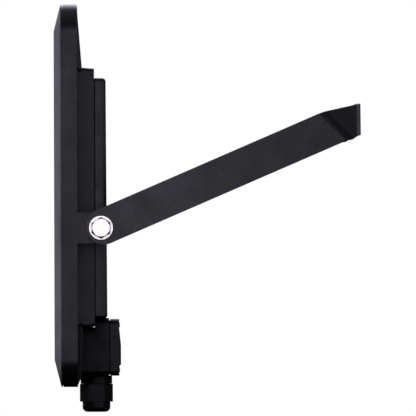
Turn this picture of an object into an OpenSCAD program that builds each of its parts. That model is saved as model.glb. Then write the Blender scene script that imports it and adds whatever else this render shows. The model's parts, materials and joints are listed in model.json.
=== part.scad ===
// LED flood light fed by a solar panel: a shallow die-cast head that tilts on a U bracket.
// The front of the head faces -Y, X runs along the tilt axis and Z is up.
// The origin is the centre of the bracket's middle wall hole, on the face that meets the wall.

/* [Head] */
// Width of the head, along the tilt axis
head_w = 320; // [310:5:340]
// Height of the head
head_h = 266.4; // [264:0.2:270]
// Corner radius of the head, seen from the front
head_corner_r = 19; // [14:1:22]
// Height of the head's middle above the tilt axis
head_rise = 22.4; // [20:0.2:25]
// How far the front edge stands ahead of the tilt axis
front_reach = 32.6; // [32:0.1:34]

/* [Front bezel] */
// Thickness of the bezel, front to back
bezel_t = 5.5; // [5.2:0.1:5.8]
// Width of the bezel's sloped border
bezel_slope_w = 18.8; // [16:0.2:19]
// Gap that shows as a dark line between the bezel and the casing
bezel_gap = 0.6; // [0.3:0.1:0.6]

/* [Window and optics] */
// Width of the window in the bezel
window_w = 260; // [258:1:262]
// Height of the window in the bezel
window_h = 205; // [204:1:206]
// Thickness of the front glass
glass_t = 4; // [3.8:0.1:4]
// Lenses in a row
lens_columns = 8; // [6:2:8]
// Rows of lenses
lens_rows = 6; // [4:2:6]
// Radius of each lens where it meets the lens plate
lens_r = 9; // [7:0.5:9.5]

/* [Casing] */
// Depth of the casing's straight side wall
rim_t = 10; // [9.5:0.5:10.5]
// How far the sloped back stands behind the rim where it meets the raised block
slope_t = 3.4; // [3:0.1:4]
// Width of the raised block that holds the battery
block_w = 236; // [234:1:240]
// Height of the raised block
block_h = 182.1; // [180.5:0.1:183]
// Height of the raised block's middle above the tilt axis
block_rise = 21.05; // [20.55:0.05:21.35]
// How far the raised block stands behind the sloped back
block_t = 8.5; // [8.2:0.1:9]
// Radius of the side lugs that carry the pivot bolts
lug_r = 10.7; // [10:0.1:11]

/* [Rear cover] */
// Width of the rear cover
cover_w = 222; // [220:1:224]
// Height of the rear cover
cover_h = 168; // [166:0.1:168.5]
// Thickness of the rear cover
cover_t = 7.8; // [7.6:0.1:8.2]

/* [Junction box] */
// Width of the junction box
jbox_w = 62; // [60:1:70]
// Across-corners size of the cable gland's cap nut
gland_cap_d = 23.4; // [22.8:0.1:23.8]
// Cable diameter that the gland's seal passes
cable_d = 8; // [6:0.5:8]

/* [Bracket] */
// Thickness of the bracket's steel bar
bar_t = 3; // [2.5:0.5:4]
// Width of the bracket's arms
arm_w = 25; // [24:0.5:26]
// Slope of the arms, from the pivot up to the wall
arm_angle = 23.3; // [22:0.1:25]
// Distance from the tilt axis back to the wall
wall_reach = 181; // [180:1:190]
// Height of the wall bar's middle above the tilt axis
wall_bar_rise = 75; // [74.5:0.1:76]
// Height of the bar that lies against the wall
wall_bar_h = 22; // [21.5:0.1:23]
// Distance along the arm's upper edge from the pivot to the corner's first fold
fold_reach = 173.6; // [172:0.2:175]
// Outer radius of the two folds at each corner
fold_r = 8; // [6:0.5:9]
// Diameter of the middle wall hole
wall_hole_d = 11; // [9:0.5:12]
// Diameter of the wall bar's two outer bolt holes
side_hole_d = 9; // [7:0.5:9]
// Distance between the wall bar's two outer bolt holes
side_hole_pitch = 120; // [100:5:140]

/* [Pivot] */
// Pivot bolt diameter
bolt_d = 8; // [8:1:8]
// Pivot bolt head size across flats
bolt_af = 13; // [13:1:13]
// Pivot bolt length under the head
bolt_l = 35; // [30:5:35]

/* [Hidden] */
$fn = 48;
eps = 0.5;

// Stations from front to back, measured from the tilt axis
front_y = -front_reach;
bezel_back_y = front_y + bezel_t;
case_front_y = bezel_back_y + bezel_gap;
case_back_y = case_front_y + rim_t;
slope_top_y = case_back_y + slope_t;
block_back_y = slope_top_y + block_t;
cover_gasket_t = 0.8;
cover_front_y = block_back_y + cover_gasket_t;
cover_back_y = cover_front_y + cover_t;

// Glass, lens plate and light board, from the front backwards
glass_lip_t = 1.2;
glass_front_y = front_y + glass_lip_t;
glass_back_y = glass_front_y + glass_t;
glass_overlap = 4;
glass_clearance = 0.5;
ledge_y = case_front_y + 1;
tray_floor_y = case_front_y + 6;
pad_t = 0.5;
led_board_t = 1.6;
led_board_back_y = tray_floor_y - pad_t;
led_board_front_y = led_board_back_y - led_board_t;
led_w = 5;
led_t = 0.8;
lens_plate_t = 1;
lens_plate_back_y = led_board_front_y - 1.1;
lens_plate_front_y = lens_plate_back_y - lens_plate_t;
lens_rise = 1.9;
lens_sphere_r = (lens_r * lens_r + lens_rise * lens_rise) / (2 * lens_rise);
lens_pitch_x = 31;
lens_pitch_z = 32;
optic_margin = 2;

// Battery bay behind the light board
bay_floor_y = tray_floor_y + 2.5;
bay_w = 200;
bay_h = 144;
bay_rise = 21;
bay_corner_r = 3;
bay_bottom = bay_rise - bay_h / 2;
bay_top = bay_rise + bay_h / 2;
cover_rise = block_rise - 0.45;
cover_lean = 0.25;

// Battery cells: three columns of four, lying along X
cell_r = 9.1;
cell_l = 65;
cell_gap = 1.3;
cell_pitch_z = 19;
cell_lift = 0.8;
cell_y = bay_floor_y + cell_lift + cell_r;
cover_pocket_y = cell_y + cell_r + 0.2;
cell_rows_z = [for (i = [0:3]) bay_top - 10 - i * cell_pitch_z];
cell_columns_x = [for (i = [-1:1]) i * (cell_l + cell_gap)];
pack_end_x = cell_columns_x[2] + cell_l / 2;
link_end_z = 10;

// Charge controller board, below the cells
board_w = 180;
board_h = 54;
board_t = 1.6;
board_rise = -19;
standoff_h = 4.4;
board_back_y = bay_floor_y + standoff_h;
board_front_y = board_back_y + board_t;
board_bottom = board_rise - board_h / 2;
board_top = board_rise + board_h / 2;
board_screw_x = 84;
board_screws_z = [board_rise - 23, board_rise + 23];
plug_h = 8;
plug_depth = 6;
battery_plug_x = 75;

// Leads
lead_r = 1;
led_lead_z = head_rise - 2 * lens_pitch_z;
led_lead_x = 1.5;
solar_lead_x = 1.3;
grommet_y = bay_floor_y + 8.6;
grommet_r = 3.5;

// Wedges of the sloped back above and below the raised block
head_top = head_rise + head_h / 2;
head_bottom = head_rise - head_h / 2;
block_top = block_rise + block_h / 2;
block_bottom = block_rise - block_h / 2;
slope_rim_x = 130;
slope_block_x = block_w / 2 - 2;
block_corner_r = 2.5;
slope_shoulder_y = case_back_y + 2.3;
slope_shoulder_z = head_bottom + 6;

// Junction box, under the raised block
jbox_bottom = -104.1;
jbox_low_top = block_bottom - 0.1;
jbox_high_top = cover_rise - cover_h / 2 - 0.2;
jbox_step_y = block_back_y + 0.35;
jbox_back_y = jbox_step_y + 9.75;
jbox_floor_y = slope_top_y + 0.6;
jbox_screw_hole_y = jbox_step_y + 0.85;
jbox_wall = 3;
jbox_bay_w = jbox_w - 2 * jbox_wall;
jbox_bay_h = jbox_low_top - jbox_bottom - 2 * jbox_wall;
jbox_bay_rise = (jbox_low_top + jbox_bottom) / 2;
jbox_gasket_t = 0.8;
jbox_cover_front_y = jbox_back_y + jbox_gasket_t;
jbox_cover_seat_y = jbox_cover_front_y + 6.3;
jbox_cover_back_y = jbox_cover_seat_y + 1.2;
jbox_cover_top = jbox_high_top - 0.8;
jbox_cover_bottom = jbox_bottom + 0.1;
jbox_screws_x = jbox_w / 2 - 4.5;
jbox_screws_z = [jbox_high_top - 4.5, jbox_bottom + 4.5];
jbox_screw_seat_y = jbox_cover_seat_y - 1.5;
jbox_fixing_x = 20;
terminal_w = 24;
terminal_h = 10;
terminal_top = -81;

// Cable gland under the junction box
gland_y = jbox_floor_y + 8.9;
gland_thread_r = 7.55;
gland_washer_t = 0.5;
gland_flange_top = jbox_bottom - gland_washer_t;
gland_flange_bottom = -109.8;
gland_flange_r = 11.1;
gland_relief = 0.3;
gland_cap_top = gland_flange_bottom - 0.1;
gland_hex_bottom = -122.4;
gland_dome_bottom = -129.6;
gland_dome_r = 9.8;
gland_dome_round = 3.6;
gland_sleeve_r = 7.4;
gland_sleeve_bottom = -123.4;
gland_seat_r = 5.45;
gland_locknut_af = 17;

// Fastener positions
bezel_screw_inset = 20;
bezel_screw_x = head_w / 2 - bezel_screw_inset;
bezel_screw_z = head_h / 2 - bezel_screw_inset;
bezel_screws_xz = concat(
    [for (x = [-1, -1 / 3, 1 / 3, 1], z = [-1, 1]) [x * bezel_screw_x, head_rise + z * bezel_screw_z]],
    [for (x = [-1, 1]) [x * bezel_screw_x, head_rise]]
);
bezel_seat_y = case_front_y + 7.5;
cover_screw_inset = 6.5;
cover_screw_x = cover_w / 2 - cover_screw_inset;
cover_screw_z = cover_h / 2 - cover_screw_inset;
cover_screws_xz = concat(
    [for (x = [-1, -0.38, 0.38, 1], z = [-1, 1]) [x * cover_screw_x, cover_rise + z * cover_screw_z]],
    [for (x = [-1, 1]) [x * cover_screw_x, cover_rise]]
);
cover_seat_y = cover_front_y + 3.6;
led_screws_xz = [for (x = [-3, -1, 1, 3], z = [-2, 2]) [x * lens_pitch_x, head_rise + z * lens_pitch_z]];

// Pivot stack, from the lug outwards
side_clearance = 3;
lug_end_x = head_w / 2 + 1.5;
lug_root_x = cover_w / 2 + 1;
friction_washer_t = 1.2;
arm_in_x = head_w / 2 + side_clearance;
arm_out_x = arm_in_x + bar_t;
rub_gap = 0.3;
flat_washer_t = 1.6;
spring_washer_t = 2.2;
flat_washer_x = arm_out_x + rub_gap;
spring_washer_x = flat_washer_x + flat_washer_t;
bolt_head_x = spring_washer_x + spring_washer_t;
bolt_head_t = 5.3;
pivot_clearance = 0.075;

// Bracket corner: the bar folds once along a 45 degree line, then again into the wall bar
arm_dir = [0, cos(arm_angle), sin(arm_angle)];
arm_up = [0, -sin(arm_angle), cos(arm_angle)];
arm_end_offset = 2;
arm_end_steps = 32;
fold_dir = [0, sqrt(0.5), -sqrt(0.5)];
fold_out = [0, sqrt(0.5), sqrt(0.5)];
facet_angle = 47.5;
side_normal = [1, 0, 0];
wall_normal = [0, 1, 0];
facet_normal = cos(facet_angle) * side_normal + sin(facet_angle) * fold_out;
fold_steps = 10;
bar_top = wall_bar_rise + wall_bar_h / 2;
bar_bottom = wall_bar_rise - wall_bar_h / 2;

// The four corner points of the outer surface, where the edges would meet if nothing were rounded
arm_corner_up = [arm_out_x, 0, 0] + fold_reach * arm_dir + arm_w / 2 * arm_up;
arm_corner_low = meet(arm_corner_up, fold_dir, [arm_out_x, 0, 0] - arm_w / 2 * arm_up, arm_up);
bar_corner_up = on_facet(wall_reach, bar_top);
bar_corner_low = on_facet(wall_reach, bar_bottom);
wall_fold_dir = unit(bar_corner_low - bar_corner_up);

function unit(v) = v / norm(v);
function mix(a, b, t) = a + (b - a) * t;

// Point on the line from p along d that lies in the plane through q with normal n
function meet(p, d, q, n) = p + d * (((q - p) * n) / (d * n));

// Point of the slanted corner facet at a given y and z
function on_facet(y, z) =
    let (off = [0, y, z] - [0, arm_corner_up[1], arm_corner_up[2]])
    [arm_out_x - tan(facet_angle) * (off * fold_out), y, z];

// Normal that lies a share t of the way round from n1 to n2
function turn(n1, n2, t) =
    let (full = acos(n1 * n2))
    (sin((1 - t) * full) * n1 + sin(t * full) * n2) / sin(full);

// Cross-section of the bar: upper and lower edge points on the outside, then on the inside
function bar_ring(up, low, n) = [up, low, low - bar_t * n, up - bar_t * n];

// One rounded fold between two planes that meet in the line from base along dir.
// Each ring runs along dir; its ends move in a straight line from the first edges to the second.
function fold_rings(base, dir, n1, n2, up1, low1, up2, low2) =
    let (
        centre = base - fold_r / (1 + n1 * n2) * (n1 + n2),
        start = centre + fold_r * n1,
        finish = centre + fold_r * n2,
        up_from = (meet(start, dir, up1[0], cross(up1[1], n1)) - start) * dir,
        low_from = (meet(start, dir, low1[0], cross(low1[1], n1)) - start) * dir,
        up_to = (meet(finish, dir, up2[0], cross(up2[1], n2)) - finish) * dir,
        low_to = (meet(finish, dir, low2[0], cross(low2[1], n2)) - finish) * dir
    )
    [for (i = [0:fold_steps])
        let (
            t = i / fold_steps,
            n = turn(n1, n2, t),
            p = centre + fold_r * n
        )
        bar_ring(p + mix(up_from, up_to, t) * dir, p + mix(low_from, low_to, t) * dir, n)
    ];

facet_up = [arm_corner_up, unit(bar_corner_up - arm_corner_up)];
facet_low = [arm_corner_low, unit(bar_corner_low - arm_corner_low)];
first_fold = fold_rings(
    arm_corner_up, fold_dir, side_normal, facet_normal,
    [arm_corner_up, arm_dir], [arm_corner_low, arm_dir], facet_up, facet_low
);
second_fold = fold_rings(
    bar_corner_up, wall_fold_dir, facet_normal, wall_normal,
    facet_up, facet_low, [bar_corner_up, [-1, 0, 0]], [bar_corner_low, [-1, 0, 0]]
);
corner_rings = concat(first_fold, second_fold);

// ---------------------------------------------------------------- building blocks

// Everything inside is drawn from the tilt axis and moved to its place from the wall hole
module from_pivot() {
    translate([0, -wall_reach, -wall_bar_rise]) children();
}

module both_sides() {
    children();
    mirror([1, 0, 0]) children();
}

module rounded_rect(w, h, r) {
    square([w - 2 * r, h], center = true);
    square([w, h - 2 * r], center = true);
    for (x = [-1, 1], z = [-1, 1])
        translate([x * (w / 2 - r), z * (h / 2 - r)]) circle(r);
}

// Plate that faces front and back, from y0 to y1, centred at height rise
module plate(y0, y1, w, h, r, rise) {
    translate([0, y1, rise]) rotate([90, 0, 0]) linear_extrude(y1 - y0) rounded_rect(w, h, r);
}

module rod_x(x0, x1, r, y = 0, z = 0) {
    translate([x0, y, z]) rotate([0, 90, 0]) cylinder(r = r, h = x1 - x0);
}

module rod_y(y0, y1, r, x = 0, z = 0) {
    translate([x, y0, z]) rotate([-90, 0, 0]) cylinder(r = r, h = y1 - y0);
}

module rod_z(z0, z1, r, x = 0, y = 0) {
    translate([x, y, z0]) cylinder(r = r, h = z1 - z0);
}

module block(low, high) {
    translate(low) cube(high - low);
}

// Pan-head screw along +Z: its head stands on z = 0 and its shank runs down
module pan_screw(d, l, head_d, head_t) {
    translate([0, 0, -l]) cylinder(d = d, h = l);
    difference() {
        cylinder(d1 = head_d, d2 = head_d * 0.78, h = head_t);
        for (a = [0, 90])
            rotate([0, 0, a]) translate([-head_d * 0.26, -head_d * 0.05, head_t * 0.45])
                cube([head_d * 0.52, head_d * 0.1, head_t]);
    }
}

// The same screw with its head towards the back, or towards the front
module screw_from_back(x, y, z, d, l, head_d, head_t) {
    translate([x, y, z]) rotate([-90, 0, 0]) pan_screw(d, l, head_d, head_t);
}

module screw_from_front(x, y, z, d, l, head_d, head_t) {
    translate([x, y, z]) rotate([90, 0, 0]) pan_screw(d, l, head_d, head_t);
}

// ---------------------------------------------------------------- bracket and pivots

// Flat part of one arm, cut off square to the plate along the line where the first fold starts
module arm_plate() {
    first = first_fold[0];
    r = arm_w / 2;
    round_end = [for (i = [0:arm_end_steps])
        let (a = 90 + 180 * i / arm_end_steps)
        arm_point(arm_end_offset + r * cos(a), r * sin(a))
    ];
    translate([arm_in_x, 0, 0]) rotate([90, 0, 90]) linear_extrude(bar_t)
        polygon(concat(round_end, [[first[1][1], first[1][2]], [first[0][1], first[0][2]]]));
}

function arm_point(along, up) =
    [along * cos(arm_angle) - up * sin(arm_angle), along * sin(arm_angle) + up * cos(arm_angle)];

// Twice-folded corner that turns the sloping arm into the upright wall bar
module bracket_corner() {
    last = len(corner_rings) - 1;
    sides = [for (i = [0:last - 1], k = [0:3], half = [0, 1])
        let (a = 4 * i + k, b = 4 * i + (k + 1) % 4)
        half == 0 ? [a, b + 4, b] : [a, a + 4, b + 4]
    ];
    polyhedron(
        points = [for (ring = corner_rings, p = ring) p],
        faces = concat([[0, 1, 2, 3]], sides, [[for (k = [3:-1:0]) 4 * last + k]])
    );
}

// Upright bar against the wall; its ends follow the line where the second fold stops
module wall_bar() {
    last = second_fold[fold_steps];
    difference() {
        translate([0, wall_reach, 0]) rotate([90, 0, 0]) linear_extrude(bar_t)
            polygon([
                [last[0][0], last[0][2]], [-last[0][0], last[0][2]],
                [-last[1][0], last[1][2]], [last[1][0], last[1][2]]
            ]);
        rod_y(wall_reach - bar_t - eps, wall_reach + eps, wall_hole_d / 2, 0, wall_bar_rise);
        for (side = [-1, 1])
            rod_y(wall_reach - bar_t - eps, wall_reach + eps, side_hole_d / 2,
                side * side_hole_pitch / 2, wall_bar_rise);
    }
}

module bracket() {
    color([0.16, 0.16, 0.17]) from_pivot() {
        difference() {
            union() {
                both_sides() arm_plate();
                both_sides() bracket_corner();
            }
            rod_x(-arm_out_x - eps, arm_out_x + eps, bolt_d / 2 + pivot_clearance);
        }
        wall_bar();
    }
}

module pivot_bolts() {
    chamfer_r = bolt_af / 2 * 0.95;
    color([0.86, 0.86, 0.85]) from_pivot() both_sides() {
        rod_x(bolt_head_x - bolt_l, bolt_head_x, bolt_d / 2);
        translate([bolt_head_x, 0, 0]) rotate([0, 90, 0]) intersection() {
            cylinder(r = bolt_af / 2 / cos(30), h = bolt_head_t, $fn = 6);
            cylinder(r1 = chamfer_r + bolt_head_t * tan(60), r2 = chamfer_r, h = bolt_head_t);
        }
    }
}

module pivot_spring_washers() {
    color([0.8, 0.8, 0.8]) from_pivot() both_sides() difference() {
        rod_x(spring_washer_x, bolt_head_x, 7.2);
        rod_x(spring_washer_x - eps, bolt_head_x + eps, bolt_d / 2 + 0.1);
        block([spring_washer_x - eps, -0.5, 0], [bolt_head_x + eps, 0.5, 9]);
    }
}

module pivot_flat_washers() {
    color([0.88, 0.88, 0.87]) from_pivot() both_sides() difference() {
        rod_x(flat_washer_x, spring_washer_x, 8.4);
        rod_x(flat_washer_x - eps, spring_washer_x + eps, bolt_d / 2 + 0.2);
    }
}

module pivot_friction_washers() {
    color([0.1, 0.1, 0.1]) from_pivot() both_sides() difference() {
        rod_x(lug_end_x, lug_end_x + friction_washer_t, lug_r - 0.7);
        rod_x(lug_end_x - eps, lug_end_x + friction_washer_t + eps, bolt_d / 2 + 0.2);
    }
}

// ---------------------------------------------------------------- casing, bezel and glass

// The sloped back above and below the raised block, grown backwards by the given amount
module sloped_back(grow = 0) {
    hull() {
        slope_layer(case_back_y + grow, slope_rim_x, block_top, head_top - 1.5);
        slope_layer(slope_top_y + grow, slope_block_x, block_top - 4, block_top - 0.5);
    }
    hull() {
        slope_layer(case_back_y + grow, slope_rim_x, head_bottom + 0.8, block_bottom);
        slope_layer(slope_shoulder_y + grow, slope_rim_x - 4, slope_shoulder_z, block_bottom);
        slope_layer(slope_top_y + grow, slope_block_x, block_bottom + 0.5, block_bottom + 4);
    }
}

// Thin slice of a slope, with its rear face at y
module slope_layer(y, half_w, bottom, top) {
    block([-half_w, y - 1, bottom], [half_w, y, top]);
}

// Raised block on the back, slightly narrower at its rear face
module raised_block() {
    draft = 2;
    hull() {
        plate(case_back_y - 1, case_back_y, block_w, block_h, block_corner_r, block_rise, $fn = 32);
        plate(block_back_y - 0.2, block_back_y, block_w - draft, block_h - draft, block_corner_r, block_rise,
            $fn = 32);
    }
}

module pivot_lug() {
    rod_x(lug_root_x, lug_end_x, lug_r);
    block([lug_root_x, case_back_y - 1, -lug_r], [head_w / 2 - 0.2, 0, lug_r]);
}

module housing_openings() {
    plate(case_front_y - eps, ledge_y, window_w + 2 * glass_overlap + 1,
        window_h + 2 * glass_overlap + 1, 10, head_rise);
    plate(case_front_y - eps, tray_floor_y, window_w, window_h, 7, head_rise);
    plate(bay_floor_y, block_back_y + eps, bay_w, bay_h, bay_corner_r, bay_rise);
    for (p = bezel_screws_xz) {
        rod_y(case_front_y - eps, slope_top_y, 2.15, p[0], p[1]);
        rod_y(bezel_seat_y, slope_top_y + eps, 4.3, p[0], p[1]);
    }
    for (p = cover_screws_xz) rod_y(block_back_y - 10, block_back_y + eps, 1.55, p[0], p[1]);
    for (p = led_screws_xz) rod_y(tray_floor_y - eps, tray_floor_y + 2, 1.55, p[0], p[1]);
    rod_y(tray_floor_y - eps, bay_floor_y + eps, 4, 0, led_lead_z);
    rod_z(jbox_low_top, bay_bottom + eps, grommet_r + 0.1, 0, grommet_y);
    rod_z(head_bottom - eps, jbox_bottom + 0.2, gland_flange_r + gland_relief, 0, gland_y);
    for (side = [-1, 1])
        rod_y(case_back_y - 3, slope_top_y + eps, 1.55, side * jbox_fixing_x, jbox_bay_rise);
    both_sides() rod_x(bolt_head_x - bolt_l - 3, lug_end_x + eps, bolt_d / 2 + 0.05);
}

module board_standoffs() {
    for (x = [-1, 1], z = board_screws_z) difference() {
        rod_y(bay_floor_y - eps, board_back_y, 3.25, x * board_screw_x, z);
        rod_y(bay_floor_y, board_back_y + eps, 1.55, x * board_screw_x, z);
    }
}

module housing() {
    color([0.17, 0.17, 0.18]) from_pivot() {
        difference() {
            union() {
                plate(case_front_y, case_back_y, head_w, head_h, head_corner_r, head_rise);
                sloped_back();
                raised_block();
                both_sides() pivot_lug();
            }
            housing_openings();
        }
        board_standoffs();
    }
}

// Bezel with a sloped border; the ring on its back rests on the casing, set in from the edge
module front_bezel() {
    lip_t = 0.8;
    seat_inset = 1.2;
    color([0.33, 0.33, 0.34]) from_pivot() difference() {
        union() {
            hull() {
                plate(bezel_back_y - lip_t, bezel_back_y, head_w, head_h, head_corner_r, head_rise, $fn = 64);
                plate(front_y, front_y + 0.2, head_w - 2 * bezel_slope_w, head_h - 2 * bezel_slope_w, 1,
                    head_rise, $fn = 32);
            }
            plate(bezel_back_y - lip_t / 2, case_front_y, head_w - 2 * seat_inset, head_h - 2 * seat_inset,
                head_corner_r - seat_inset, head_rise);
        }
        plate(front_y - eps, case_front_y + eps, window_w, window_h, 7, head_rise);
        plate(glass_front_y, case_front_y + eps, window_w + 2 * glass_overlap,
            window_h + 2 * glass_overlap, 10, head_rise);
        for (p = bezel_screws_xz) rod_y(front_y + 1.4, case_front_y + eps, 2.05, p[0], p[1]);
    }
}

module bezel_screws() {
    color([0.72, 0.72, 0.72]) from_pivot()
        for (p = bezel_screws_xz)
            screw_from_back(p[0], bezel_seat_y, p[1], 4, bezel_seat_y - front_y - 1.6, 7.6, 2.4);
}

module front_glass() {
    color([0.75, 0.82, 0.84, 0.35]) from_pivot()
        plate(glass_front_y, glass_back_y, window_w + 2 * glass_overlap - glass_clearance,
            window_h + 2 * glass_overlap - glass_clearance, 9.5, head_rise);
}

module glass_gasket() {
    color([0.08, 0.08, 0.08]) from_pivot() difference() {
        plate(glass_back_y, ledge_y, window_w + 2 * glass_overlap - 0.5,
            window_h + 2 * glass_overlap - 0.5, 9.5, head_rise);
        plate(glass_back_y - eps, ledge_y + eps, window_w, window_h, 7, head_rise);
    }
}

// ---------------------------------------------------------------- light source

// Repeats its children at every lens position
module at_lenses() {
    for (i = [0:lens_columns - 1], k = [0:lens_rows - 1])
        translate([
            (i - (lens_columns - 1) / 2) * lens_pitch_x,
            0,
            head_rise + (k - (lens_rows - 1) / 2) * lens_pitch_z
        ]) children();
}

module lens_plate() {
    plate_w = window_w - optic_margin;
    plate_h = window_h - optic_margin;
    color([0.85, 0.88, 0.9, 0.6]) from_pivot() union() {
        plate(lens_plate_front_y, lens_plate_back_y, plate_w, plate_h, 6, head_rise);
        difference() {
            plate(lens_plate_back_y, led_board_front_y, plate_w, plate_h, 6, head_rise);
            plate(lens_plate_back_y - eps, led_board_front_y + eps, plate_w - 5, plate_h - 5, 4, head_rise);
        }
        at_lenses() intersection() {
            translate([0, lens_plate_front_y - lens_rise + lens_sphere_r, 0]) sphere(lens_sphere_r);
            rod_y(lens_plate_front_y - lens_rise - eps, lens_plate_front_y + 0.2, lens_r);
        }
    }
}

module led_board() {
    color([0.93, 0.93, 0.9]) from_pivot() difference() {
        plate(led_board_front_y, led_board_back_y, window_w - optic_margin, window_h - optic_margin, 6,
            head_rise);
        for (p = led_screws_xz) rod_y(led_board_front_y - eps, led_board_back_y + eps, 1.65, p[0], p[1]);
        rod_y(led_board_front_y - eps, led_board_back_y + eps, 3, 0, led_lead_z);
    }
}

module led_chips() {
    color([0.95, 0.85, 0.3]) from_pivot() at_lenses()
        block([-led_w / 2, led_board_front_y - led_t, -led_w / 2], [led_w / 2, led_board_front_y, led_w / 2]);
}

module led_board_screws() {
    color([0.75, 0.75, 0.75]) from_pivot()
        for (p = led_screws_xz) screw_from_front(p[0], led_board_front_y, p[1], 3, 3.8, 5.4, 0.9);
}

module thermal_pad() {
    color([0.55, 0.6, 0.7]) from_pivot() difference() {
        plate(led_board_back_y, tray_floor_y, window_w - 8, window_h - 8, 4, head_rise);
        for (p = led_screws_xz) rod_y(led_board_back_y - eps, tray_floor_y + eps, 1.8, p[0], p[1]);
        rod_y(led_board_back_y - eps, tray_floor_y + eps, 3.5, 0, led_lead_z);
    }
}

// ---------------------------------------------------------------- rear cover and battery

module cover_layer(y, inset, r) {
    translate([0, y, 0]) rotate([cover_lean, 0, 0]) translate([0, -y, 0])
        plate(y - 0.2, y, cover_w - 2 * inset, cover_h - 2 * inset, r, cover_rise, $fn = 32);
}

// Cover with a rounded rear edge, a little deeper at its lower end
module rear_cover() {
    color([0.18, 0.18, 0.19]) from_pivot() difference() {
        hull() {
            plate(cover_front_y, cover_front_y + 0.2, cover_w, cover_h, block_corner_r, cover_rise, $fn = 32);
            cover_layer(cover_back_y - 2.4, 0.1, 2.4);
            cover_layer(cover_back_y - 1.2, 0.4, 2.2);
            cover_layer(cover_back_y - 0.4, 1.1, 1.8);
            cover_layer(cover_back_y, 2.2, 1.2);
        }
        plate(cover_front_y - eps, cover_pocket_y, bay_w, bay_h, bay_corner_r, bay_rise);
        for (p = cover_screws_xz) {
            rod_y(cover_front_y - eps, cover_back_y + 2, 1.7, p[0], p[1]);
            rod_y(cover_seat_y, cover_back_y + 2, 3.1, p[0], p[1]);
        }
    }
}

module rear_cover_gasket() {
    color([0.05, 0.05, 0.05]) from_pivot() difference() {
        plate(block_back_y, cover_front_y, cover_w - 0.6, cover_h - 0.6, block_corner_r, cover_rise);
        plate(block_back_y - eps, cover_front_y + eps, bay_w, bay_h, bay_corner_r, bay_rise);
        for (p = cover_screws_xz) rod_y(block_back_y - eps, cover_front_y + eps, 1.8, p[0], p[1]);
    }
}

module rear_cover_screws() {
    color([0.72, 0.72, 0.72]) from_pivot()
        for (p = cover_screws_xz) screw_from_back(p[0], cover_seat_y, p[1], 3, 12, 5.6, 2);
}

module battery_cells() {
    nub_l = 0.8;
    color([0.25, 0.45, 0.75]) from_pivot()
        for (x = cell_columns_x, z = cell_rows_z) {
            rod_x(x - cell_l / 2, x + cell_l / 2 - nub_l, cell_r, cell_y, z);
            rod_x(x + cell_l / 2 - nub_l, x + cell_l / 2, 3, cell_y, z);
        }
}

// Upright comb-shaped rails that the cells lie in, two under each column
module battery_cradles() {
    rail_w = 6;
    rail_t = 6;
    color([0.12, 0.12, 0.12]) from_pivot()
        for (x = cell_columns_x, side = [-1, 1]) difference() {
            block(
                [x + side * 20 - rail_w / 2, bay_floor_y, cell_rows_z[3] - 8.5],
                [x + side * 20 + rail_w / 2, bay_floor_y + rail_t, cell_rows_z[0] + 8.5]
            );
            for (z = cell_rows_z)
                rod_x(x + side * 20 - rail_w, x + side * 20 + rail_w, cell_r + 0.05, cell_y, z);
        }
}

// Nickel strips that join the cells' ends; the outer two carry on down to the leads
module cell_links() {
    strip_w = 8;
    end_t = 0.8;
    top_z = cell_rows_z[0] + 6;
    color([0.75, 0.74, 0.7]) from_pivot() both_sides() {
        block([cell_l / 2, cell_y - strip_w / 2, cell_rows_z[3] - 6],
            [cell_l / 2 + cell_gap, cell_y + strip_w / 2, top_z]);
        block([pack_end_x, cell_y - strip_w / 2, link_end_z],
            [pack_end_x + end_t, cell_y + strip_w / 2, top_z]);
    }
}

module battery_leads() {
    bend_z = link_end_z + 2;
    color([0.7, 0.1, 0.08]) from_pivot() both_sides() {
        rod_z(board_top, bend_z, lead_r, battery_plug_x, cell_y);
        translate([battery_plug_x, cell_y, bend_z]) sphere(lead_r);
        rod_x(battery_plug_x, pack_end_x, lead_r, cell_y, bend_z);
    }
}

// ---------------------------------------------------------------- charge controller

module control_board() {
    color([0.05, 0.3, 0.14]) from_pivot() difference() {
        plate(board_back_y, board_front_y, board_w, board_h, 2, board_rise);
        for (x = [-1, 1], z = board_screws_z)
            rod_y(board_back_y - eps, board_front_y + eps, 1.65, x * board_screw_x, z);
    }
}

// Component standing on the board: middle of its footprint, then its size
module board_block(x, z, w, depth, h) {
    block([x - w / 2, board_front_y, z - h / 2], [x + w / 2, board_front_y + depth, z + h / 2]);
}

module board_parts() {
    color([0.15, 0.15, 0.15]) from_pivot() {
        for (side = [-1, 1])
            board_block(side * battery_plug_x, board_top - plug_h / 2, 10, plug_depth, plug_h);
        board_block(0, board_bottom + plug_h / 2, 14, plug_depth, plug_h);
        rod_y(board_front_y, board_front_y + 8, 8, 34, board_rise + 2);
        for (x = [-16, -30]) rod_y(board_front_y, board_front_y + 11, 5, x, board_rise + 4);
        for (x = [52, 66]) board_block(x, board_rise - 12, 10, 4.5, 9);
        board_block(-54, board_rise, 10, 1.2, 10);
        board_block(-54, board_rise + 14, 6, 1.6, 4);
        board_block(8, board_rise + 12, 5, 2, 7);
    }
}

module board_screws() {
    color([0.72, 0.72, 0.72]) from_pivot()
        for (x = [-1, 1], z = board_screws_z)
            screw_from_back(x * board_screw_x, board_front_y, z, 3, 5.4, 5.4, 1.8);
}

module led_leads() {
    color([0.8, 0.1, 0.1]) from_pivot()
        for (side = [-1, 1])
            rod_y(led_board_back_y, board_back_y, 0.8, side * led_lead_x, led_lead_z);
}

module solar_leads() {
    color([0.1, 0.1, 0.1]) from_pivot()
        for (side = [-1, 1])
            rod_z(terminal_top, board_bottom, lead_r, side * solar_lead_x, grommet_y);
}

module lead_grommet() {
    color([0.07, 0.07, 0.07]) from_pivot() difference() {
        rod_z(jbox_low_top - jbox_wall, bay_bottom, grommet_r, 0, grommet_y);
        rod_z(jbox_low_top - jbox_wall - eps, bay_bottom + eps, 2.4, 0, grommet_y);
    }
}

// ---------------------------------------------------------------- junction box and gland

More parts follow.
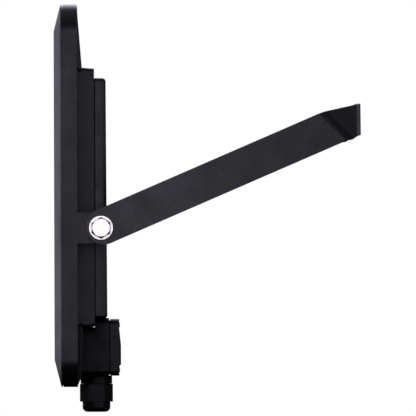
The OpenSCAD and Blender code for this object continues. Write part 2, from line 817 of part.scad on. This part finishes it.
// Upright plate of the junction box between two heights
module jbox_slab(y0, y1, w, bottom, top, r) {
    plate(y0, y1, w, top - bottom, r, (top + bottom) / 2);
}

module junction_box() {
    color([0.12, 0.12, 0.12]) from_pivot() {
        difference() {
            union() {
                jbox_slab(case_back_y, jbox_step_y, jbox_w, jbox_bottom, jbox_low_top, 4);
                jbox_slab(jbox_step_y - 0.3, jbox_back_y, jbox_w, jbox_bottom, jbox_high_top, 4);
            }
            sloped_back(0.1);
            plate(jbox_floor_y, jbox_back_y + eps, jbox_bay_w, jbox_bay_h, 2.5, jbox_bay_rise);
            rod_z(jbox_low_top - jbox_wall - eps, jbox_low_top + eps, grommet_r + 0.1, 0, grommet_y);
            rod_z(jbox_bottom - eps, jbox_bottom + jbox_wall + eps, gland_thread_r + 0.05, 0, gland_y);
            for (side = [-1, 1])
                rod_y(case_back_y, jbox_floor_y + eps, 1.7, side * jbox_fixing_x, jbox_bay_rise);
            cover_screw_holes(jbox_screw_hole_y, jbox_back_y + eps, 1.3);
        }
        difference() {
            for (side = [-1, 1])
                rod_y(jbox_floor_y - eps, jbox_back_y, 3.6, side * jbox_screws_x, jbox_screws_z[1]);
            cover_screw_holes(jbox_screw_hole_y, jbox_back_y + eps, 1.3);
        }
    }
}

module junction_box_screws() {
    color([0.72, 0.72, 0.72]) from_pivot()
        for (side = [-1, 1])
            screw_from_back(side * jbox_fixing_x, jbox_floor_y, jbox_bay_rise, 3, 6, 5.4, 1.8);
}

// Holes for the four screws of the junction box's cover
module cover_screw_holes(y0, y1, r) {
    for (side = [-1, 1], z = jbox_screws_z) rod_y(y0, y1, r, side * jbox_screws_x, z);
}

// The hollow that the junction box's gasket and cover leave open towards its inside
module jbox_cover_hollow(y0, y1) {
    plate(y0, y1, jbox_bay_w - 10, jbox_bay_h - 2, 2, jbox_bay_rise);
}

module junction_box_gasket() {
    inset = 0.8;
    color([0.05, 0.05, 0.05]) from_pivot() difference() {
        jbox_slab(jbox_back_y, jbox_cover_front_y, jbox_w - 2 * inset, jbox_cover_bottom + inset,
            jbox_cover_top - inset, 3.4);
        jbox_cover_hollow(jbox_back_y - eps, jbox_cover_front_y + eps);
        cover_screw_holes(jbox_back_y - eps, jbox_cover_front_y + eps, 1.4);
    }
}

module junction_box_cover() {
    panel_bottom = jbox_cover_bottom + 6.5;
    panel_top = panel_bottom + 27;
    color([0.19, 0.19, 0.21]) from_pivot() difference() {
        union() {
            jbox_slab(jbox_cover_front_y, jbox_cover_seat_y, jbox_w, jbox_cover_bottom, jbox_cover_top, 4);
            hull($fn = 32) {
                jbox_slab(jbox_cover_seat_y - 0.2, jbox_cover_seat_y, jbox_w - 16, panel_bottom,
                    panel_top, 3);
                jbox_slab(jbox_cover_back_y - 0.2, jbox_cover_back_y, jbox_w - 22, panel_bottom + 1.5,
                    panel_bottom + 15, 3);
            }
        }
        jbox_cover_hollow(jbox_cover_front_y - eps, jbox_cover_front_y + 3);
        cover_screw_holes(jbox_cover_front_y - eps, jbox_cover_back_y + eps, 1.4);
        cover_screw_holes(jbox_screw_seat_y, jbox_cover_back_y + eps, 2.5);
    }
}

module junction_cover_screws() {
    color([0.85, 0.85, 0.85]) from_pivot()
        for (side = [-1, 1], z = jbox_screws_z)
            screw_from_back(side * jbox_screws_x, jbox_screw_seat_y, z, 2.5, 12, 4.6, 2);
}

module at_terminals() {
    for (i = [-1:1]) translate([i * 7.4, 0, 0]) children();
}

module terminal_block() {
    bottom = terminal_top - terminal_h;
    back_y = jbox_floor_y + 9.8;
    color([0.85, 0.85, 0.8]) from_pivot() difference() {
        block([-terminal_w / 2, jbox_floor_y, bottom], [terminal_w / 2, back_y, terminal_top]);
        at_terminals() {
            rod_z(bottom - eps, bottom + 5, 1.6, 0, jbox_floor_y + 4);
            rod_y(back_y - 3.5, back_y + eps, 1.9, 0, terminal_top - terminal_h / 2);
        }
    }
}

module terminal_screws() {
    bottom_y = jbox_floor_y + 6.3;
    color([0.75, 0.75, 0.72]) from_pivot() at_terminals() difference() {
        rod_y(bottom_y, bottom_y + 2.6, 1.75, 0, terminal_top - terminal_h / 2);
        block([-1.4, bottom_y + 1.8, terminal_top - terminal_h / 2 - 0.25],
            [1.4, bottom_y + 3, terminal_top - terminal_h / 2 + 0.25]);
    }
}

// Hexagonal prism that stands on Z with two corners towards front and back
module hex_z(z0, z1, corner_r) {
    translate([0, 0, z0]) rotate([0, 0, 90]) cylinder(r = corner_r, h = z1 - z0, $fn = 6);
}

module at_gland() {
    from_pivot() translate([0, gland_y, 0]) children();
}

module gland_body() {
    color([0.09, 0.09, 0.09]) at_gland() difference() {
        union() {
            rod_z(gland_flange_top - eps, jbox_bottom + 6.8, gland_thread_r);
            rod_z(gland_flange_bottom, gland_flange_top, gland_flange_r);
            rod_z(gland_sleeve_bottom, gland_flange_bottom + eps, gland_sleeve_r);
        }
        rod_z(gland_sleeve_bottom - eps, jbox_bottom + 8, 4.7);
        rod_z(gland_sleeve_bottom - eps, gland_sleeve_bottom + 11, gland_seat_r);
    }
}

module gland_washer() {
    color([0.04, 0.04, 0.04]) at_gland() difference() {
        rod_z(gland_flange_top, jbox_bottom, gland_flange_r - 0.2);
        rod_z(gland_flange_top - eps, jbox_bottom + eps, gland_thread_r + 0.05);
    }
}

module gland_locknut() {
    top = jbox_bottom + jbox_wall + 3.2;
    color([0.11, 0.11, 0.11]) at_gland() difference() {
        rotate([0, 0, 90]) hex_z(top - 3.1, top, gland_locknut_af / 2 / cos(30));
        rod_z(top - 4, top + eps, gland_thread_r + 0.05);
    }
}

module gland_seal() {
    color([0.03, 0.03, 0.03]) at_gland() difference() {
        rod_z(gland_sleeve_bottom + 0.5, gland_sleeve_bottom + 10.5, gland_seat_r - 0.05);
        rod_z(gland_sleeve_bottom, gland_sleeve_bottom + 11, cable_d / 2);
    }
}

module gland_cap() {
    dome_h = gland_hex_bottom - gland_dome_bottom;
    round_r = gland_dome_round;
    color([0.09, 0.09, 0.09]) at_gland() difference() {
        union() {
            hex_z(gland_hex_bottom, gland_cap_top, gland_cap_d / 2);
            translate([0, 0, gland_dome_bottom]) rotate_extrude() {
                square([gland_dome_r - round_r, dome_h + 0.5]);
                translate([0, round_r]) square([gland_dome_r, dome_h + 0.5 - round_r]);
                translate([gland_dome_r - round_r, round_r]) intersection() {
                    circle(round_r);
                    translate([0, -round_r]) square([round_r, round_r]);
                }
            }
        }
        rod_z(gland_sleeve_bottom - 0.4, gland_cap_top + eps, gland_sleeve_r + 0.1);
        rod_z(gland_dome_bottom - eps, gland_cap_top, 4.9);
    }
}

bracket();
pivot_bolts();
pivot_spring_washers();
pivot_flat_washers();
pivot_friction_washers();
housing();
front_bezel();
bezel_screws();
front_glass();
glass_gasket();
lens_plate();
led_board();
led_chips();
led_board_screws();
thermal_pad();
rear_cover();
rear_cover_gasket();
rear_cover_screws();
battery_cells();
battery_cradles();
cell_links();
battery_leads();
control_board();
board_parts();
board_screws();
led_leads();
solar_leads();
lead_grommet();
junction_box();
junction_box_screws();
junction_box_gasket();
junction_box_cover();
junction_cover_screws();
terminal_block();
terminal_screws();
gland_body();
gland_locknut();
gland_washer();
gland_seal();
gland_cap();
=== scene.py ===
import json
import math

import bpy
from mathutils import Matrix, Vector

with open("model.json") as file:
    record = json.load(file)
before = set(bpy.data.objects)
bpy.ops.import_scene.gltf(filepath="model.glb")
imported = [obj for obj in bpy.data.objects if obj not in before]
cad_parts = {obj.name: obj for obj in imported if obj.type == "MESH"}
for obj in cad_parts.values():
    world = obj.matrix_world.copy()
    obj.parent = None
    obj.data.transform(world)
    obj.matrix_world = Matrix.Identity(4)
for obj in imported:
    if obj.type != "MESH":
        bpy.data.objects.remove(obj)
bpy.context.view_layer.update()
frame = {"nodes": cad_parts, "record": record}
nodes = frame["nodes"]
scene = bpy.context.scene
scene.view_settings.view_transform = "Standard"

MM = 0.001
PIVOT = Vector((0.0, -0.181, -0.075))


def at(x, y, z):
    """A point given in millimetres from the tilt axis, in metres in the scene."""
    return PIVOT + Vector((x, y, z)) * MM


# ---------------------------------------------------------------- camera

LENS = 1500.0
SENSOR = 36.0
# Width in metres of what the camera sees at the near side of the bracket
PICTURE_WIDTH = 0.2891
NEAR_CLIP = 0.5
FAR_CLIP_MARGIN = 10.0
NEAR_SIDE_X = 163.0
PICTURE_MIDDLE = at(NEAR_SIDE_X, 74.4, 13.5)
ROLL = math.radians(-0.19)


def make_camera():
    data = bpy.data.cameras.new("camera")
    data.lens = LENS
    data.sensor_width = SENSOR
    distance = PICTURE_WIDTH * LENS / SENSOR
    data.clip_start = NEAR_CLIP
    data.clip_end = distance + FAR_CLIP_MARGIN
    camera = bpy.data.objects.new("camera", data)
    scene.collection.objects.link(camera)
    place = at(NEAR_SIDE_X, 0, 0) + Vector((distance, 0.0, 0.0))
    turn = (PICTURE_MIDDLE - place).to_track_quat("-Z", "Y").to_matrix().to_4x4()
    camera.matrix_world = Matrix.Translation(place) @ turn @ Matrix.Rotation(ROLL, 4, "Z")
    scene.camera = camera


# ---------------------------------------------------------------- light and floor

# Brightness of the surround by height, from straight down (0) to straight up (1)
SKY_STOPS = [
    (0.0, 0.0), (0.42, 0.0), (0.5, 0.07), (0.57, 0.08),
    (0.65, 0.05), (0.82, 0.12), (0.9, 0.13), (1.0, 0.3),
]
# The surround darkens between these two shares of the way round to the wall side
BACK_DIM_START = 0.55
BACK_DIM_END = 0.97
BACK_DIMMING = 0.15
COOL_WHITE = (1.0, 0.98, 1.2)
PURE_WHITE = (1.0, 1.0, 1.0, 1.0)

MIDDLE = at(0, 0, 20)
# Place and target, width and height in metres, power in watts
LIGHTS = {
    "top": (at(-900, -100, 800), MIDDLE, (1.0, 1.0), 9.0),
    "front": (at(300, -1100, 1400), MIDDLE, (1.0, 1.0), 10.0),
    "left": (at(-1300, -700, 250), MIDDLE, (0.9, 0.9), 1.2),
    "back": (at(-900, 1300, 900), MIDDLE, (1.0, 1.0), 2.0),
    "back_right": (at(1000, 900, -60), MIDDLE, (0.7, 0.7), 1.4),
    "side": (at(1360, -45, 95), at(163, -20, 60), (0.38, 0.55), 1.4),
}


def make_world():
    """Soft studio surround: dark below and behind, brighter above, and white behind the object."""
    world = bpy.data.worlds.new("studio")
    scene.world = world
    world.use_nodes = True
    tree = world.node_tree
    tree.nodes.clear()
    out = tree.nodes.new("ShaderNodeOutputWorld")
    mix = tree.nodes.new("ShaderNodeMixShader")
    seen = tree.nodes.new("ShaderNodeBackground")
    seen.inputs["Color"].default_value = PURE_WHITE
    lit = tree.nodes.new("ShaderNodeBackground")
    path = tree.nodes.new("ShaderNodeLightPath")
    where = tree.nodes.new("ShaderNodeTexCoord")
    split = tree.nodes.new("ShaderNodeSeparateXYZ")
    height = tree.nodes.new("ShaderNodeMapRange")
    height.inputs["From Min"].default_value = -1.0
    behind = tree.nodes.new("ShaderNodeMapRange")
    behind.inputs["From Min"].default_value = BACK_DIM_START
    behind.inputs["From Max"].default_value = BACK_DIM_END
    behind.inputs["To Min"].default_value = 1.0
    behind.inputs["To Max"].default_value = BACK_DIMMING
    ramp = tree.nodes.new("ShaderNodeValToRGB")
    ramp.color_ramp.elements.remove(ramp.color_ramp.elements[1])
    for i, (place, grey) in enumerate(SKY_STOPS):
        element = ramp.color_ramp.elements[0] if i == 0 else ramp.color_ramp.elements.new(place)
        element.position = place
        element.color = (*(grey * c for c in COOL_WHITE), 1.0)
    link = tree.links.new
    link(where.outputs["Generated"], split.inputs["Vector"])
    link(split.outputs["Z"], height.inputs["Value"])
    link(split.outputs["Y"], behind.inputs["Value"])
    link(height.outputs["Result"], ramp.inputs["Fac"])
    link(ramp.outputs["Color"], lit.inputs["Color"])
    link(behind.outputs["Result"], lit.inputs["Strength"])
    link(path.outputs["Is Camera Ray"], mix.inputs["Fac"])
    link(lit.outputs["Background"], mix.inputs[1])
    link(seen.outputs["Background"], mix.inputs[2])
    link(mix.outputs["Shader"], out.inputs["Surface"])


def area_light(name, place, target, size, power):
    data = bpy.data.lights.new(name, "AREA")
    data.shape = "RECTANGLE"
    data.size, data.size_y = size
    data.energy = power
    data.color = COOL_WHITE
    light = bpy.data.objects.new(name, data)
    scene.collection.objects.link(light)
    light.location = place
    light.rotation_mode = "QUATERNION"
    light.rotation_quaternion = (target - place).to_track_quat("-Z", "Y")


FLOOR_Z = -0.42
FLOOR_HALF = 3.0
FLOOR_COLOR = (0.82, 0.82, 0.81, 1.0)
FLOOR_ROUGHNESS = 0.9


def make_floor():
    mesh = bpy.data.meshes.new("floor")
    corners = [(-1, -1), (1, -1), (1, 1), (-1, 1)]
    mesh.from_pydata([(x * FLOOR_HALF, y * FLOOR_HALF, FLOOR_Z) for x, y in corners], [], [(0, 1, 2, 3)])
    floor = bpy.data.objects.new("floor", mesh)
    scene.collection.objects.link(floor)
    floor.visible_diffuse = False
    floor.visible_glossy = False
    mat = bpy.data.materials.new("floor_paint")
    mat.use_nodes = True
    shader = mat.node_tree.nodes["Principled BSDF"]
    shader.inputs["Base Color"].default_value = FLOOR_COLOR
    shader.inputs["Roughness"].default_value = FLOOR_ROUGHNESS
    mesh.materials.append(mat)


# ---------------------------------------------------------------- materials


# Most of a noise texture's values lie between these two
NOISE_LOW = 0.3
NOISE_HIGH = 0.7
# How far a bevelled normal turns from the true one, as a cosine: open surface, and full edge
FLAT_DOT = 0.995
EDGE_DOT = 0.9


class Surface:
    """A material built round one Principled shader, in millimetre-scaled object coordinates."""

    def __init__(self, name, color, roughness, **fixed):
        self.mat = bpy.data.materials.new(name)
        self.mat.use_nodes = True
        self.tree = self.mat.node_tree
        self.shader = self.tree.nodes["Principled BSDF"]
        self.shader.inputs["Base Color"].default_value = (*color, 1.0)
        self.shader.inputs["Roughness"].default_value = roughness
        for key, value in fixed.items():
            self.shader.inputs[key.replace("_", " ")].default_value = value
        self.coords = self.node("ShaderNodeTexCoord").outputs["Object"]

    def node(self, kind, **settings):
        made = self.tree.nodes.new(kind)
        for key, value in settings.items():
            setattr(made, key, value)
        return made

    def link(self, a, b):
        self.tree.links.new(a, b)

    def stretched(self, scale):
        mapping = self.node("ShaderNodeMapping")
        mapping.inputs["Scale"].default_value = scale
        self.link(self.coords, mapping.inputs["Vector"])
        return mapping.outputs["Vector"]

    def noise(self, per_mm, detail=2.0, scale=(1, 1, 1)):
        made = self.node("ShaderNodeTexNoise")
        made.inputs["Scale"].default_value = per_mm / MM
        made.inputs["Detail"].default_value = detail
        self.link(self.stretched(scale) if scale != (1, 1, 1) else self.coords, made.inputs["Vector"])
        return made.outputs["Fac"]

    def cells(self, per_mm):
        made = self.node("ShaderNodeTexVoronoi")
        made.inputs["Scale"].default_value = per_mm / MM
        self.link(self.coords, made.inputs["Vector"])
        return made.outputs["Distance"]

    def remap(self, value, low, high, out_low, out_high):
        made = self.node("ShaderNodeMapRange")
        for key, number in (("From Min", low), ("From Max", high), ("To Min", out_low), ("To Max", out_high)):
            made.inputs[key].default_value = number
        self.link(value, made.inputs["Value"])
        return made.outputs["Result"]

    def spread(self, noise, out_low, out_high):
        """A noise's usual values spread over the given range."""
        return self.remap(noise, NOISE_LOW, NOISE_HIGH, out_low, out_high)

    def blend(self, fac, a, b):
        """Colour a where fac is 0 and b where it is 1; each is a socket or three numbers."""
        made = self.node("ShaderNodeMix", data_type="RGBA")
        self.link(fac, made.inputs[0])
        for source, socket in ((a, made.inputs[6]), (b, made.inputs[7])):
            if isinstance(source, tuple):
                socket.default_value = (*source, 1.0)
            else:
                self.link(source, socket)
        return made.outputs[2]

    def edges(self, radius_mm):
        """1 along convex and concave edges, 0 on open surfaces."""
        bevel = self.node("ShaderNodeBevel", samples=4)
        bevel.inputs["Radius"].default_value = radius_mm * MM
        geometry = self.node("ShaderNodeNewGeometry")
        dot = self.node("ShaderNodeVectorMath", operation="DOT_PRODUCT")
        self.link(bevel.outputs["Normal"], dot.inputs[0])
        self.link(geometry.outputs["Normal"], dot.inputs[1])
        return self.remap(dot.outputs["Value"], FLAT_DOT, EDGE_DOT, 0.0, 1.0)

    def vary_gleam(self, gleam, cloud_per_mm, cloud_share, grain_per_mm, grain_share):
        """Reflectivity that drifts in broad clouds and in fine grain."""
        cloud = self.spread(self.noise(cloud_per_mm, 4.0), -cloud_share * gleam, cloud_share * gleam)
        grain = self.spread(self.noise(grain_per_mm, 1.0), 1 - grain_share, 1 + grain_share)
        mixed = self.node("ShaderNodeMath", operation="MULTIPLY_ADD")
        mixed.inputs[0].default_value = gleam
        self.link(grain, mixed.inputs[1])
        self.link(cloud, mixed.inputs[2])
        self.link(mixed.outputs[0], self.shader.inputs["Specular IOR Level"])

    def set_color(self, socket):
        self.link(socket, self.shader.inputs["Base Color"])

    def set_roughness(self, socket):
        self.link(socket, self.shader.inputs["Roughness"])

    def drift_roughness(self, low, high, per_mm, detail=2.0):
        """Roughness that drifts between low and high."""
        self.set_roughness(self.spread(self.noise(per_mm, detail), low, high))

    def bump(self, height, depth_mm, strength=1.0):
        made = self.node("ShaderNodeBump")
        made.inputs["Strength"].default_value = strength
        made.inputs["Distance"].default_value = depth_mm * MM
        self.link(height, made.inputs["Height"])
        last = self.shader.inputs["Normal"]
        if last.is_linked:
            self.link(last.links[0].from_socket, made.inputs["Normal"])
        self.link(made.outputs["Normal"], last)


# Grey mixed into every edge: partly a coat rubbed thin, partly a painted edge highlight
EDGE_WEAR_AND_HIGHLIGHT_GREY = 0.04
SPARKS_PER_MM = 3.0


def shade(color, factor):
    return tuple(c * factor for c in color)


def powder_coat(name, color, roughness, gleam, edge_lightening=0.35, grain_mm=0.03):
    """Fine-textured powder coat: orange peel, faint clouding, a little dust, and lighter edges that are part
    rubbed wear, part painted highlight.
    """
    s = Surface(name, color, roughness)
    s.vary_gleam(gleam, cloud_per_mm=0.012, cloud_share=0.06, grain_per_mm=0.8, grain_share=0.12)
    clouds = s.remap(s.noise(per_mm=0.02, detail=4.0), 0.35, 0.65, 0.0, 1.0)
    tone = s.blend(clouds, shade(color, 0.85), shade(color, 1.15))
    dust = s.remap(s.noise(per_mm=0.8, detail=1.0), 0.6, 0.75, 0.0, 0.5)
    tone = s.blend(dust, tone, shade(color, 2.5))
    # Painted highlight: every convex and concave edge is lightened towards a pale grey, only partly as rubbed
    # wear
    edge_wear_and_highlight = s.node("ShaderNodeMath", operation="MULTIPLY")
    s.link(s.edges(radius_mm=0.5), edge_wear_and_highlight.inputs[0])
    s.link(s.remap(s.noise(per_mm=0.12, detail=3.0), 0.4, 0.7, 0.1, edge_lightening), edge_wear_and_highlight.inputs[1])
    worn_and_highlit_edge = tuple(EDGE_WEAR_AND_HIGHLIGHT_GREY + 2.0 * c for c in color)
    s.set_color(s.blend(edge_wear_and_highlight.outputs[0], tone, worn_and_highlit_edge))
    s.drift_roughness(roughness - 0.03, roughness + 0.04, per_mm=0.05, detail=3.0)
    s.bump(s.noise(per_mm=1.1), grain_mm)
    s.bump(s.noise(per_mm=0.18), depth_mm=grain_mm * 1.4, strength=0.5)
    return s.mat


def moulded(name, color, roughness, gleam=0.35):
    """Spark-eroded moulded nylon: fine even grain and slight gloss variation."""
    s = Surface(name, color, roughness)
    s.vary_gleam(gleam, cloud_per_mm=0.04, cloud_share=0.12, grain_per_mm=0.6, grain_share=0.12)
    s.set_color(s.blend(s.noise(per_mm=0.06, detail=3.0), shade(color, 0.85), shade(color, 1.2)))
    s.drift_roughness(roughness - 0.05, roughness + 0.05, per_mm=0.1)
    s.bump(s.noise(per_mm=SPARKS_PER_MM), depth_mm=0.015)
    return s.mat


def rubber(name, color):
    """Matt moulded rubber with a dusty bloom."""
    s = Surface(name, color, 0.75, Specular_IOR_Level=0.25)
    s.set_color(s.blend(s.noise(per_mm=0.4, detail=3.0), shade(color, 0.8), shade(color, 1.4)))
    s.bump(s.noise(per_mm=2.0, detail=3.0), depth_mm=0.02)
    return s.mat


def plated(name, color, roughness, lathe=False):
    """Zinc-plated or stainless steel: faint turning marks, cloudy plating, darker pits."""
    s = Surface(name, color, roughness, Metallic=1.0)
    clouds = s.remap(s.noise(per_mm=0.35, detail=4.0), 0.35, 0.7, 0.0, 1.0)
    s.set_color(s.blend(clouds, shade(color, 0.9), color))
    s.drift_roughness(roughness - 0.04, roughness + 0.05, per_mm=0.9, detail=3.0)
    if lathe:
        s.bump(s.noise(per_mm=1.5, scale=(8.0, 1.0, 1.0)), depth_mm=0.003)
    s.bump(s.noise(per_mm=2.5), depth_mm=0.002)
    return s.mat


def gloss(name, color, roughness=0.28, spread=0.12):
    """Smooth plastic film, such as a shrink sleeve or a wire's insulation."""
    s = Surface(name, color, roughness)
    s.set_color(s.blend(s.noise(per_mm=0.15, detail=3.0), shade(color, 1 - spread), shade(color, 1 + spread)))
    s.drift_roughness(roughness - 0.05, roughness + 0.06, per_mm=0.5)
    s.bump(s.noise(per_mm=1.0, detail=1.0), depth_mm=0.01)
    return s.mat


def clear(name, color, roughness, ior, smudge):
    """Glass or acrylic with faint smudges and a slight waviness."""
    s = Surface(name, color, roughness, Transmission_Weight=1.0, IOR=ior)
    s.set_roughness(s.remap(s.noise(per_mm=0.03, detail=4.0), 0.45, 0.75, roughness, roughness + smudge))
    s.bump(s.noise(per_mm=0.01, detail=1.0), depth_mm=0.02, strength=0.3)
    return s.mat


TRACKS_PER_BRICK = 8
TRACK_SHARE = 0.03


def circuit_board(name, mask, copper, track_mm):
    """Solder mask over tracks: a grid of straight copper lines just visible under the lacquer."""
    s = Surface(name, mask, 0.3)
    bricks = s.node("ShaderNodeTexBrick")
    bricks.inputs["Scale"].default_value = 1 / (MM * track_mm * TRACKS_PER_BRICK)
    bricks.inputs["Mortar Size"].default_value = TRACK_SHARE
    bricks.inputs["Color1"].default_value = (*mask, 1.0)
    bricks.inputs["Color2"].default_value = (*shade(mask, 1.15), 1.0)
    bricks.inputs["Mortar"].default_value = (*copper, 1.0)
    turn = s.node("ShaderNodeMapping")
    turn.inputs["Rotation"].default_value = (math.pi / 2, 0.0, 0.0)
    s.link(s.coords, turn.inputs["Vector"])
    s.link(turn.outputs["Vector"], bricks.inputs["Vector"])
    s.set_color(bricks.outputs["Color"])
    s.bump(bricks.outputs["Fac"], depth_mm=0.03, strength=0.6)
    s.drift_roughness(0.24, 0.36, per_mm=0.3)
    return s.mat


def phosphor(name):
    """Yellow phosphor cast over an LED, slightly pebbled."""
    s = Surface(name, (0.9, 0.62, 0.1), 0.45)
    s.set_color(s.blend(s.noise(per_mm=1.5), (0.85, 0.55, 0.08), (0.95, 0.72, 0.16)))
    s.bump(s.cells(per_mm=1.2), depth_mm=0.03, strength=0.4)
    return s.mat


MATERIALS = {
    "cast_black": powder_coat("cast_black", (0.005, 0.005, 0.0052), 0.38, 0.42),
    "cover_black": powder_coat("cover_black", (0.007, 0.007, 0.0074), 0.4, 0.5),
    "bezel_black": powder_coat("bezel_black", (0.012, 0.012, 0.012), 0.38, 0.5),
    "bracket_steel": powder_coat("bracket_steel", (0.007, 0.007, 0.0073), 0.36, 0.47, 0.3, 0.02),
    "zinc_steel": plated("zinc_steel", (0.86, 0.83, 0.74), 0.27, True),
    "screw_steel": plated("screw_steel", (0.78, 0.78, 0.77), 0.28),
    "clear_glass": clear("clear_glass", (0.93, 0.98, 0.97), 0.0, 1.5, 0.03),
    "clear_lens": clear("clear_lens", (0.97, 0.98, 1.0), 0.02, 1.46, 0.04),
    "rubber_black": rubber("rubber_black", (0.011, 0.011, 0.011)),
    "board_white": circuit_board("board_white", (0.78, 0.78, 0.76), (0.7, 0.69, 0.66), 1.5),
    "led_yellow": phosphor("led_yellow"),
    "pad_grey": rubber("pad_grey", (0.22, 0.25, 0.3)),
    "cell_blue": gloss("cell_blue", (0.03, 0.11, 0.34)),
    "nylon_black": moulded("nylon_black", (0.006, 0.006, 0.0062), 0.44, 0.27),
    "lid_grey": moulded("lid_grey", (0.01, 0.01, 0.0115), 0.42, 0.32),
    "nickel": plated("nickel", (0.7, 0.67, 0.6), 0.32),
    "wire_red": gloss("wire_red", (0.4, 0.012, 0.01), 0.4),
    "wire_black": gloss("wire_black", (0.01, 0.01, 0.01), 0.4),
    "board_green": circuit_board("board_green", (0.008, 0.09, 0.03), (0.02, 0.16, 0.06), 1.2),
    "part_black": moulded("part_black", (0.02, 0.02, 0.021), 0.5),
    "terminal_grey": moulded("terminal_grey", (0.5, 0.5, 0.46), 0.45),
}

# ---------------------------------------------------------------- finished CAD nodes

# Width in millimetres that each node's edges are rounded by
EDGE_ROUNDING = {
    "bracket": 0.35,
    "housing": 0.4,
    "front_bezel": 0.5,
    "rear_cover": 0.25,
    "pivot_bolts": 0.25,
    "pivot_flat_washers": 0.2,
    "pivot_spring_washers": 0.2,
    "pivot_friction_washers": 0.15,
    "junction_box": 0.5,
    "junction_box_cover": 0.4,
    "gland_cap": 0.25,
    "gland_body": 0.3,
    "gland_locknut": 0.3,
    "front_glass": 0.3,
    "battery_cradles": 0.3,
    "terminal_block": 0.3,
    "board_parts": 0.3,
}
BEVEL_SEGMENTS = 3
# Sharper edges than this are rounded; faces nearer to one plane than the second angle are joined
FLAT_ANGLE = math.radians(28)
SAME_PLANE_ANGLE = math.radians(1)
# Corners closer than this, in metres, become one
WELD_DISTANCE = 1e-6
# The largest faces alone steer the shading of a rounded edge
FULL_WEIGHT = 100


def finish_node(name, obj, slot):
    """Gives a CAD piece its material and, where its edges show, a small rounding."""
    obj.data.materials.clear()
    obj.data.materials.append(MATERIALS[slot])
    for face in obj.data.polygons:
        face.use_smooth = True
    width = EDGE_ROUNDING.get(name, 0.0)
    if not width:
        return
    weld = obj.modifiers.new("weld", "WELD")
    weld.merge_threshold = WELD_DISTANCE
    flatten = obj.modifiers.new("flatten", "DECIMATE")
    flatten.decimate_type = "DISSOLVE"
    flatten.angle_limit = SAME_PLANE_ANGLE
    bevel = obj.modifiers.new("bevel", "BEVEL")
    bevel.width = width * MM
    bevel.segments = BEVEL_SEGMENTS
    bevel.limit_method = "ANGLE"
    bevel.angle_limit = FLAT_ANGLE
    bevel.miter_outer = "MITER_ARC"
    normals = obj.modifiers.new("normals", "WEIGHTED_NORMAL")
    normals.weight = FULL_WEIGHT
    normals.keep_sharp = True


make_camera()
make_world()
for light_name, light_settings in LIGHTS.items():
    area_light(light_name, *light_settings)
make_floor()

slot_of = {part["node"]: part["material_slot"] for part in frame["record"]["subparts"]}
for node_name, node_object in nodes.items():
    finish_node(node_name, node_object, slot_of[node_name])
